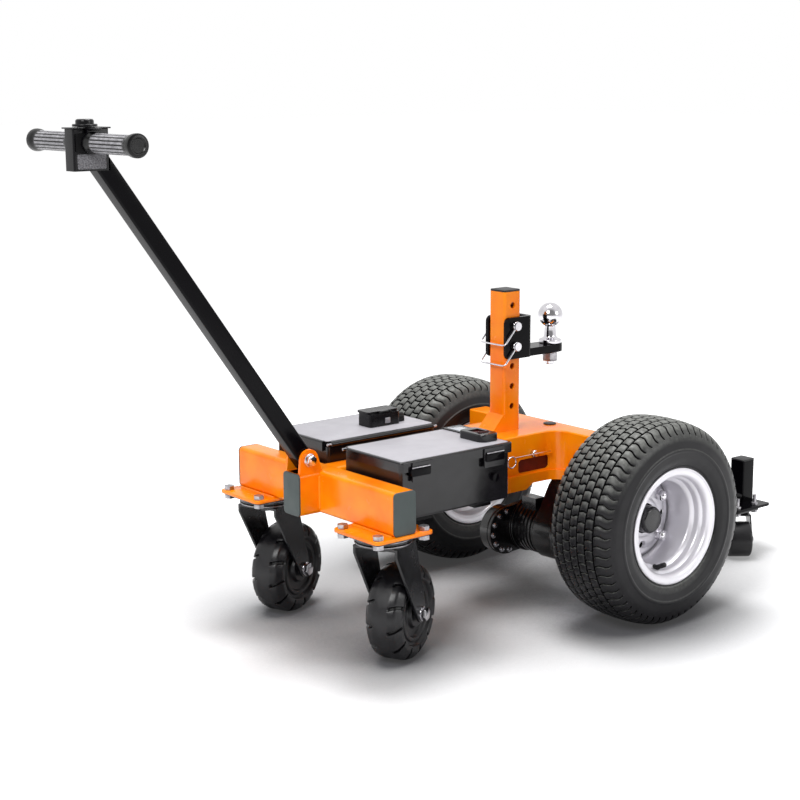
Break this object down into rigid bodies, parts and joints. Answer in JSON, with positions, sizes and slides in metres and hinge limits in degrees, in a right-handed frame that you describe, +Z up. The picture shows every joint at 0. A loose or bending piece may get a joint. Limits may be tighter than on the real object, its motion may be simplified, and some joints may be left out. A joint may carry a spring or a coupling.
{
  "type": "electric trailer dolly",
  "caption": "Battery-driven dolly for moving caravans and trailers by hand: tiller with speed knob, pneumatic drive wheels, swivel casters and a height-adjustable tow ball.",
  "frame": {"origin": "on the ground, midway along and across the whole dolly", "axes": "+Z up; +X to the rear, towards the tow ball and the small rear casters, away from the handle; +Y to the far side in the picture"},
  "size_m": [1.637, 0.7454, 0.993],
  "materials": {
    "orange_paint": "gloss",
    "cap_plastic": "satin",
    "chrome": "polished",
    "black_paint": "satin",
    "zinc": "satin",
    "black_iron": "gloss paint",
    "gloss_black": "gloss",
    "matte_black": "matt",
    "red_plastic": "gloss",
    "fin_alloy": "satin",
    "grip_rubber": "matt",
    "caster_rubber": "matt",
    "tyre": "matt",
    "rim_silver": "silver lacquer"
  },
  "bodies": {
    "chassis": {"front_beam": "orange_paint", "tube_end_caps": "cap_plastic", "spine_tube": "orange_paint", "tiller_ears": "orange_paint", "tiller_pivot_bolt": "chrome", "caster_plates": "orange_paint", "caster_bolts": "chrome", "battery_straps": "black_paint", "rear_frame": "orange_paint", "hitch_post": "orange_paint", "post_gusset": "orange_paint", "ball_bracket": "black_paint", "tow_ball": "chrome", "ball_nut": "chrome", "hitch_pins": "chrome", "transaxle_case": "black_iron", "drive_motor": "black_iron", "reduction_housing": "black_iron", "axle_tubes": "black_paint", "axle_clamps": "black_paint", "rear_arms": "black_paint", "caster_raceways": "zinc", "battery_box_near": "gloss_black", "battery_box_far": "gloss_black", "lid_hinge_pins": "chrome", "batteries": "matte_black", "motor_controller": "fin_alloy"},
    "tiller": {"tiller_tube": "black_paint", "handle_bar": "black_paint", "hand_grips": "grip_rubber", "control_box": "matte_black"},
    "knob": {"speed_knob": "matte_black"},
    "throttle": {"thumb_throttle": "matte_black"},
    "near_lid": {"lid_near": "gloss_black", "display_panel": "gloss_black"},
    "far_lid": {"lid_far": "gloss_black", "charge_socket": "gloss_black"},
    "rocker": {"power_rocker": "red_plastic"},
    "cap": {"socket_cap": "gloss_black"},
    "upper_bail": {"pin_bail_upper": "chrome"},
    "lower_bail": {"pin_bail_lower": "chrome"},
    "pull_pin": {"freewheel_pin": "chrome"},
    "near_caster": {"caster_fork_near": "black_paint", "caster_axle_near": "chrome"},
    "far_caster": {"caster_fork_far": "black_paint", "caster_axle_far": "chrome"},
    "near_caster_wheel": {"caster_wheel_near": "caster_rubber"},
    "far_caster_wheel": {"caster_wheel_far": "caster_rubber"},
    "near_rear_caster": {"rear_fork_near": "zinc"},
    "far_rear_caster": {"rear_fork_far": "zinc"},
    "near_roller": {"rear_roller_near": "caster_rubber"},
    "far_roller": {"rear_roller_far": "caster_rubber"},
    "near_wheel": {"rim_near": "rim_silver", "tyre_near": "tyre", "hub_near": "black_iron", "lug_nuts_near": "chrome"},
    "far_wheel": {"rim_far": "rim_silver", "tyre_far": "tyre", "hub_far": "black_iron", "lug_nuts_far": "chrome"}
  },
  "joints": [
    {"name": "tiller_pivot", "type": "hinge", "parent": "chassis", "child": "tiller", "pos_m": [-0.369, 0, 0.367], "axis": [0, 1, 0], "range_deg": [-45, 35]},
    {"name": "knob_turn", "type": "hinge", "parent": "tiller", "child": "knob", "pos_m": [-0.788, 0, 0.981], "axis": [0, 0, 1], "range_deg": [0, 270]},
    {"name": "throttle_press", "type": "hinge", "parent": "tiller", "child": "throttle", "pos_m": [-0.789, -0.02, 0.955], "axis": [0, 1, 0], "range_deg": [0, 25], "stiffness_Nm_per_rad": 0.3, "springref_deg": -11.46},
    {"name": "near_lid_hinge", "type": "hinge", "parent": "chassis", "child": "near_lid", "pos_m": [-0.1589, -0.024, 0.3759], "axis": [-1, 0, 0], "range_deg": [0, 70]},
    {"name": "far_lid_hinge", "type": "hinge", "parent": "chassis", "child": "far_lid", "pos_m": [-0.1589, 0.024, 0.3759], "axis": [1, 0, 0], "range_deg": [0, 70]},
    {"name": "rocker_tip", "type": "hinge", "parent": "near_lid", "child": "rocker", "pos_m": [-0.055, -0.136, 0.3915], "axis": [1, 0, 0], "range_deg": [0, 20]},
    {"name": "cap_flip", "type": "hinge", "parent": "far_lid", "child": "cap", "pos_m": [-0.117, 0.072, 0.4093], "axis": [1, 0, 0], "range_deg": [0, 110]},
    {"name": "upper_bail_swing", "type": "hinge", "parent": "chassis", "child": "upper_bail", "pos_m": [0.1366, 0, 0.5656], "axis": [0, 1, 0], "range_deg": [-6, 100]},
    {"name": "lower_bail_swing", "type": "hinge", "parent": "chassis", "child": "lower_bail", "pos_m": [0.1366, 0, 0.5246], "axis": [0, 1, 0], "range_deg": [-12, 44]},
    {"name": "pull_pin_slide", "type": "slide", "parent": "chassis", "child": "pull_pin", "axis": [0, -1, 0], "range_m": [0, 0.02]},
    {"name": "near_caster_swivel", "type": "hinge", "parent": "chassis", "child": "near_caster", "pos_m": [-0.3254, -0.1842, 0.243], "axis": [0, 0, 1], "continuous": true},
    {"name": "near_caster_spin", "type": "hinge", "parent": "near_caster", "child": "near_caster_wheel", "pos_m": [-0.26196, -0.15462, 0.09], "axis": [0.4226, -0.9063, 0], "continuous": true},
    {"name": "near_rear_swivel", "type": "hinge", "parent": "chassis", "child": "near_rear_caster", "pos_m": [0.748, -0.104, 0.0907], "axis": [0, 0, 1], "continuous": true},
    {"name": "near_roller_spin", "type": "hinge", "parent": "near_rear_caster", "child": "near_roller", "pos_m": [0.72434, -0.13374, 0.039], "axis": [-0.7826, 0.6225, 0], "continuous": true},
    {"name": "near_wheel_spin", "type": "hinge", "parent": "chassis", "child": "near_wheel", "pos_m": [0.248, -0.29, 0.203], "axis": [0, 1, 0], "continuous": true},
    {"name": "far_caster_swivel", "type": "hinge", "parent": "chassis", "child": "far_caster", "pos_m": [-0.3254, 0.1842, 0.243], "axis": [0, 0, 1], "continuous": true},
    {"name": "far_caster_spin", "type": "hinge", "parent": "far_caster", "child": "far_caster_wheel", "pos_m": [-0.2605, 0.21042, 0.09], "axis": [0.3746, -0.9272, 0], "continuous": true},
    {"name": "far_rear_swivel", "type": "hinge", "parent": "chassis", "child": "far_rear_caster", "pos_m": [0.748, 0.104, 0.0907], "axis": [0, 0, 1], "continuous": true},
    {"name": "far_roller_spin", "type": "hinge", "parent": "far_rear_caster", "child": "far_roller", "pos_m": [0.71356, 0.08794, 0.039], "axis": [-0.4226, 0.9063, 0], "continuous": true},
    {"name": "far_wheel_spin", "type": "hinge", "parent": "chassis", "child": "far_wheel", "pos_m": [0.248, 0.29, 0.203], "axis": [0, 1, 0], "continuous": true}
  ]
}
